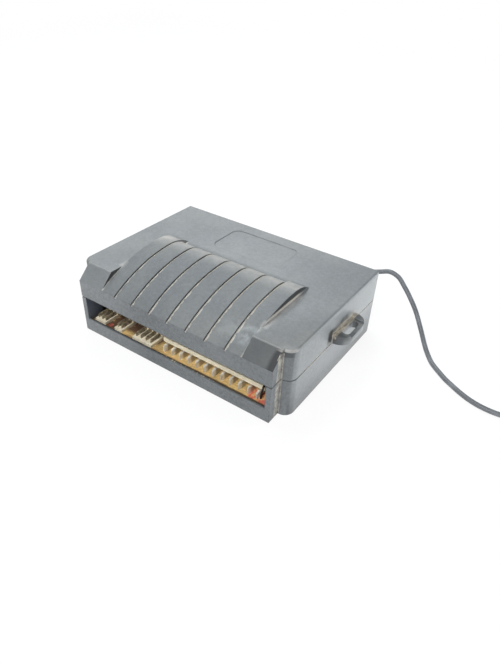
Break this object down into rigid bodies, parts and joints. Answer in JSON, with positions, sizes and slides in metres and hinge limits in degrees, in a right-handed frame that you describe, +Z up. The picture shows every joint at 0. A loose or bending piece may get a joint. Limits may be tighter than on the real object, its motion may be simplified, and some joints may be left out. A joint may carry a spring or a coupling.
{
  "type": "electronic control module",
  "caption": "Dark moulded box with a slitted hump on top, an open connector bay in front showing pin headers on a tan board, slotted side ears and a wire antenna.",
  "frame": {"origin": "centre of the underside, midway between the ears and between nose and rear wall", "axes": "+X to the right along the connector face, +Y to the rear, +Z up"},
  "size_m": [0.2109, 0.0976, 0.0329],
  "materials": {
    "case_plastic_lower": "fine moulded grain",
    "case_plastic_upper": "fine moulded grain, dusty in the slits",
    "screw_zinc": "zinc plated",
    "board_laminate": "bare paper laminate",
    "header_nylon": "natural nylon, aged cream",
    "tinned_pin": "tin plated",
    "relay_case": "moulded cover",
    "chip_epoxy": "moulded epoxy",
    "capacitor_sleeve": "shrunk sleeve",
    "tab_aluminium": "plain tab",
    "can_steel": "pressed can",
    "resistor_lacquer": "lacquered",
    "receiver_laminate": "green lacquered laminate",
    "solder": "soldered",
    "wire_sleeve": "soft vinyl sleeve",
    "link_sleeve": "black sleeve"
  },
  "bodies": {
    "root": {"lower_shell": "case_plastic_lower", "upper_shell": "case_plastic_upper", "case_screws": "screw_zinc", "board_screws": "screw_zinc", "circuit_board": "board_laminate", "main_header": "header_nylon", "four_way_header": "header_nylon", "two_way_header": "header_nylon", "three_way_header": "header_nylon", "main_header_pins": "tinned_pin", "four_way_pins": "tinned_pin", "two_way_pins": "tinned_pin", "three_way_pins": "tinned_pin", "jumper_link": "link_sleeve", "relays": "relay_case", "relay_pins": "tinned_pin", "controller": "chip_epoxy", "controller_legs": "tinned_pin", "reservoir_capacitors": "capacitor_sleeve", "capacitor_leads": "tinned_pin", "regulator": "chip_epoxy", "regulator_tab": "tab_aluminium", "regulator_legs": "tinned_pin", "crystal": "can_steel", "resistors": "resistor_lacquer", "resistor_leads": "tinned_pin", "diodes": "chip_epoxy", "diode_leads": "tinned_pin", "transistors": "chip_epoxy", "transistor_leads": "tinned_pin", "receiver_board": "receiver_laminate", "receiver_can": "can_steel", "receiver_pins": "tinned_pin", "solder_joints": "solder", "antenna_wire": "wire_sleeve"}
  },
  "joints": []
}
